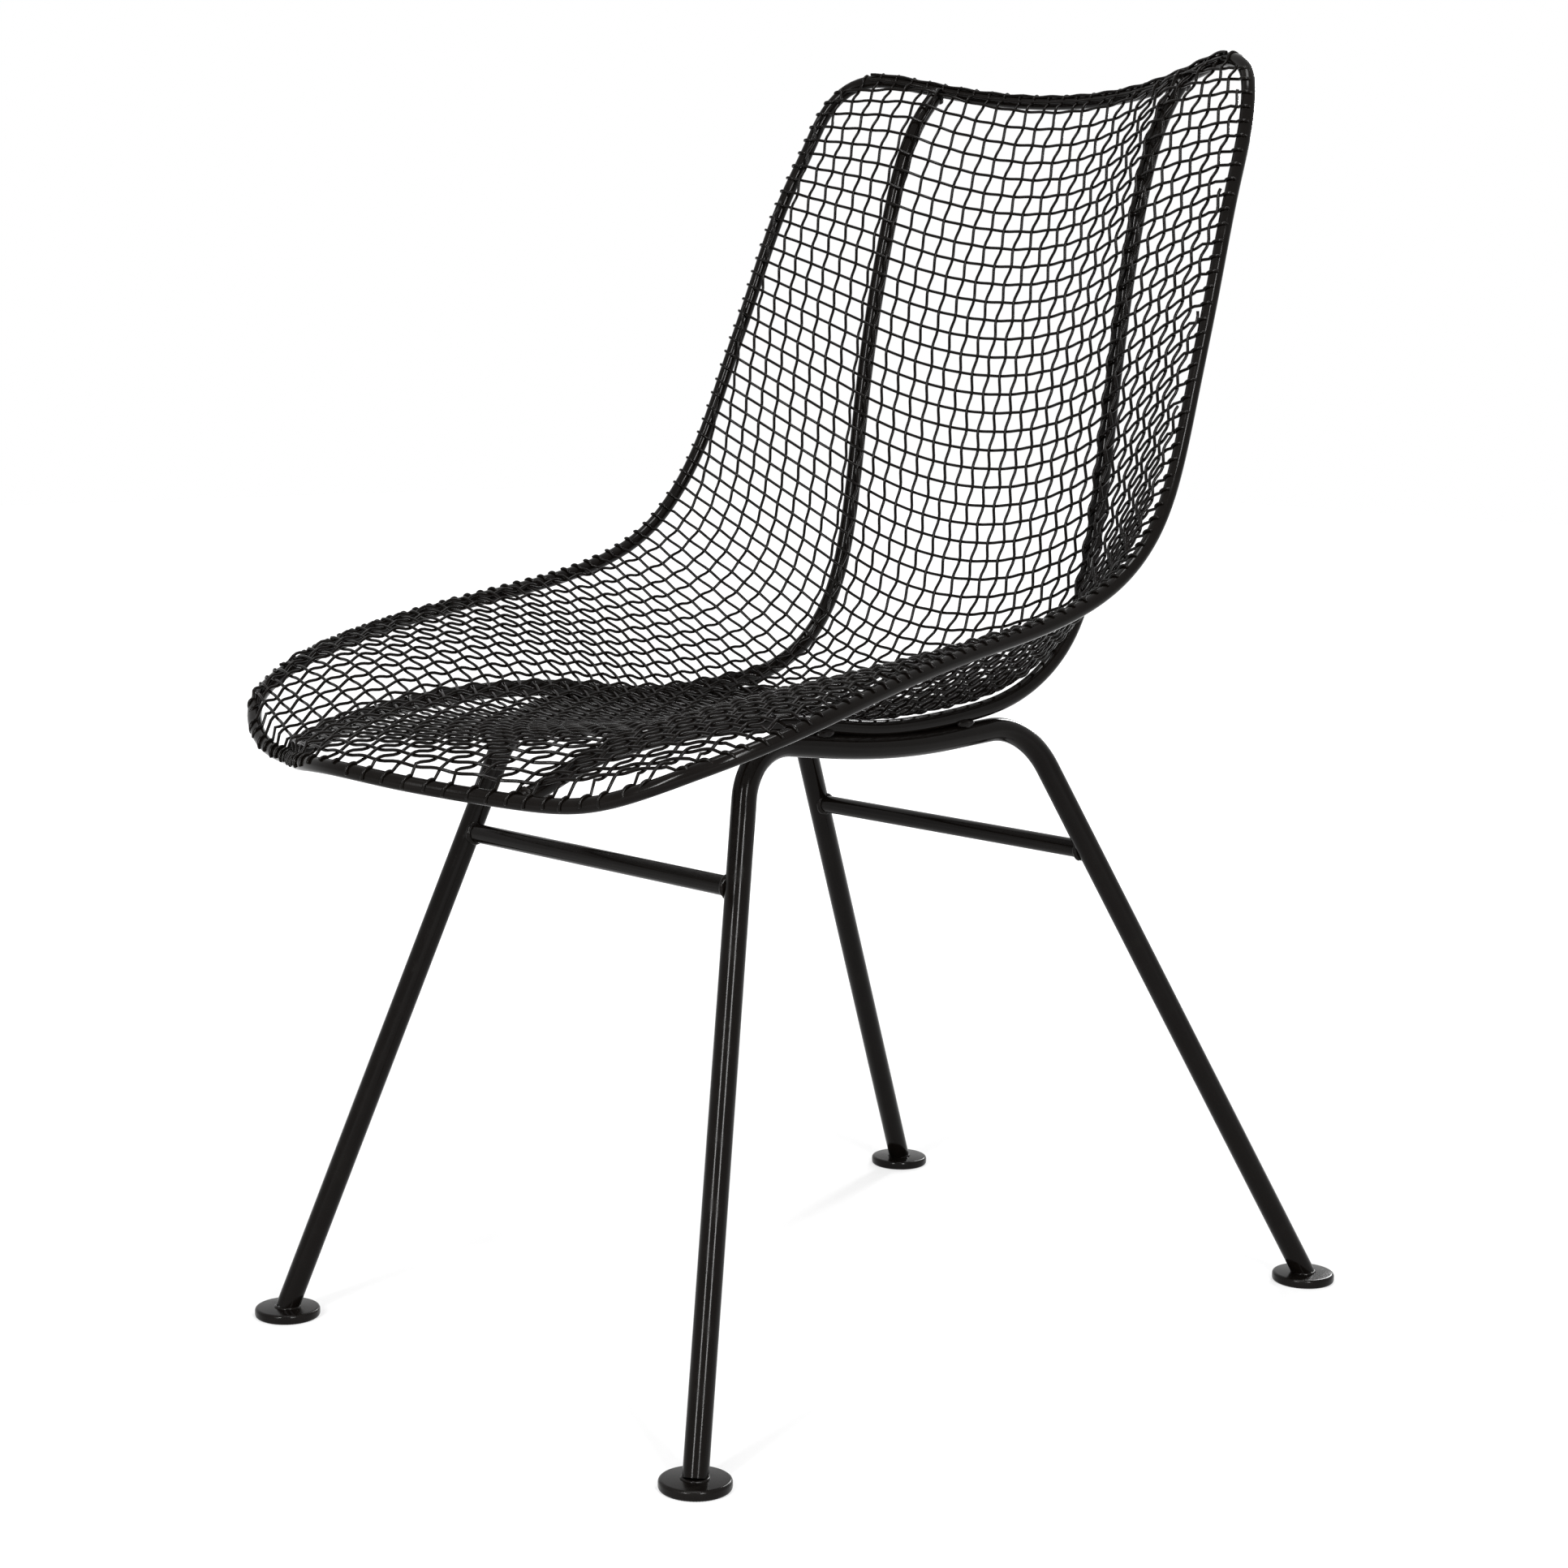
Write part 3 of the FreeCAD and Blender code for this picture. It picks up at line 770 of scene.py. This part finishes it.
finish_piece(saddle_welds, weld_paint, "weld_paint", "rib_saddle_welds")

RIB_END_BEAD = 0.0017
RIB_END_SEAT = 0.85
RIB_END_TUCK = 0.0003
RIB_END_POINT = 12
rib_end_welds = []
for end, inner in (
        (rib_left[0], rib_left[RIB_END_POINT]), (rib_left[-1], rib_left[-1 - RIB_END_POINT])):
    run = unit(inner - end)
    spot = end + run * RIM_RADIUS * RIB_END_SEAT
    rib_end_welds += both_sides(weld_ring, spot, run, RIB_RADIUS - RIB_END_TUCK, RIB_END_BEAD)
rib_end_welds = joined("rib_end_welds", rib_end_welds)
finish_piece(rib_end_welds, weld_paint, "weld_paint")

# Woven mesh

BACK_ROWS = 27
BEND_ROWS = 40
WIRE_ROUNDNESS = 2
weave = (
    ("crosswise_wires_back", edge_rows + crosswise[:BACK_ROWS]),
    ("crosswise_wires_bend", crosswise[BACK_ROWS:BEND_ROWS]),
    ("crosswise_wires_seat", crosswise[BEND_ROWS:]),
    ("left_lengthwise_wires", lengthwise[::2]),
    ("right_lengthwise_wires", lengthwise[1::2]))
for name, lines in weave:
    finish_piece(wire_piece(name, lines, WIRE_RADIUS, WIRE_ROUNDNESS), mesh_paint, "mesh_paint", name)


def rim_tacks():
    """Spot welds that hold the wire ends down on the rim."""
    bpy.ops.object.select_all(action="DESELECT")
    bpy.ops.mesh.primitive_ico_sphere_add(subdivisions=1, radius=TACK_RADIUS)
    first = bpy.context.object
    copies = []
    for tip in tips:
        copy = first.copy()
        copy.data = first.data.copy()
        copy.data.transform(Matrix.Translation(Vector(tip)))
        bpy.context.collection.objects.link(copy)
        copies.append(copy)
    bpy.data.objects.remove(first)
    piece = joined("rim_tacks", copies)
    bpy.ops.object.shade_smooth()
    return piece


finish_piece(rim_tacks(), weld_paint, "weld_paint")

# Floor, lights and camera

FLOOR_SIZE = 16
FLOOR_ROUGHNESS = 0.9
bpy.ops.object.select_all(action="DESELECT")
bpy.ops.mesh.primitive_plane_add(size=FLOOR_SIZE, location=(0, 0, 0))
floor = bpy.context.object
floor.name = "floor"
floor_material = bpy.data.materials.new("floor")
floor_material.use_nodes = True
FLOOR_COLOUR = (0.80, 0.80, 0.80, 1)
FLOOR_SHADOW_COLOUR = (0.28, 0.28, 0.28, 1)
FLOOR_WHITE_NEAR = 0.58
FLOOR_WHITE_REACH = (0.7, 1.8)
WORLD_LIGHT = 0.35


def seen_directly(nodes, links):
    """1 for rays from the camera or off a shiny surface, 0 for rays that light the object."""
    path = nodes.new("ShaderNodeLightPath")
    total = path.outputs["Is Camera Ray"]
    for name in ("Is Glossy Ray", "Is Transmission Ray"):
        either = nodes.new("ShaderNodeMath")
        either.operation = "MAXIMUM"
        links.new(total, either.inputs[0])
        links.new(path.outputs[name], either.inputs[1])
        total = either.outputs[0]
    return total


floor_nodes = floor_material.node_tree.nodes
floor_links = floor_material.node_tree.links
floor_shader = floor_nodes["Principled BSDF"]
floor_seen = seen_directly(floor_nodes, floor_links)
floor_place = floor_nodes.new("ShaderNodeTexCoord").outputs["Object"]
floor_distance = floor_nodes.new("ShaderNodeVectorMath")
floor_distance.operation = "LENGTH"
floor_links.new(floor_place, floor_distance.inputs[0])
floor_far = ramp(floor_nodes, floor_links, floor_distance.outputs["Value"], *FLOOR_WHITE_REACH)
floor_white = mix_values(floor_nodes, floor_links, floor_far, FLOOR_WHITE_NEAR, 1.0)
floor_glow = mix_values(floor_nodes, floor_links, floor_seen, 0.0, floor_white)
floor_colour = mix_colours(floor_nodes, floor_links, floor_seen, FLOOR_COLOUR, FLOOR_SHADOW_COLOUR)
floor_links.new(floor_colour, floor_shader.inputs["Base Color"])
floor_links.new(floor_glow, floor_shader.inputs["Emission Strength"])
floor_shader.inputs["Emission Color"].default_value = (1, 1, 1, 1)
floor_shader.inputs["Roughness"].default_value = FLOOR_ROUGHNESS
floor.data.materials.append(floor_material)

world = bpy.data.worlds.new("studio")
bpy.context.scene.world = world
world.use_nodes = True
sky_nodes = world.node_tree.nodes
sky_links = world.node_tree.links
background = sky_nodes["Background"]
background.inputs["Color"].default_value = (1, 1, 1, 1)
sky_strength = mix_values(sky_nodes, sky_links, seen_directly(sky_nodes, sky_links), WORLD_LIGHT, 1.0)
sky_links.new(sky_strength, background.inputs["Strength"])


def softbox(name, place, aim, size, power):
    lamp = bpy.data.lights.new(name, "AREA")
    lamp.shape = "RECTANGLE"
    lamp.size = size[0]
    lamp.size_y = size[1]
    lamp.energy = power
    holder = bpy.data.objects.new(name, lamp)
    holder.location = place
    holder.rotation_euler = (Vector(aim) - Vector(place)).to_track_quat("-Z", "Y").to_euler()
    bpy.context.collection.objects.link(holder)


STRIP_SIZE = (0.30, 1.5)
softbox("left_strip", (0.78, -2.48, 1.5), (0, 0, 0.5), STRIP_SIZE, power=80)
softbox("right_strip", (2.41, -0.97, 1.5), (0, 0, 0.5), STRIP_SIZE, power=80)
softbox("rear_strip", (-0.9, 2.5, 1.6), (0, 0, 0.5), (0.35, 1.5), power=45)
softbox("top_softbox", (0.1, -0.2, 2.9), (0, 0, 0.4), (0.8, 0.8), power=40)

CAMERA_PLACE = (1.4787, -1.4012, 0.6807)
CAMERA_YAW = math.radians(-46.30)
CAMERA_PITCH = math.radians(-8.669)
CAMERA_ROLL = math.radians(0.866)
CAMERA_LENS = 70.14

camera = bpy.data.cameras.new("camera")
camera.lens = CAMERA_LENS
camera.sensor_width = 36
eye = bpy.data.objects.new("camera", camera)
turn = Matrix.Rotation(-CAMERA_YAW, 4, "Z")
tilt = Matrix.Rotation(math.radians(90) + CAMERA_PITCH, 4, "X")
lean = Matrix.Rotation(CAMERA_ROLL, 4, "Z")
eye.matrix_world = Matrix.Translation(CAMERA_PLACE) @ turn @ tilt @ lean
bpy.context.collection.objects.link(eye)
bpy.context.scene.camera = eye
bpy.context.scene.view_settings.view_transform = "Standard"
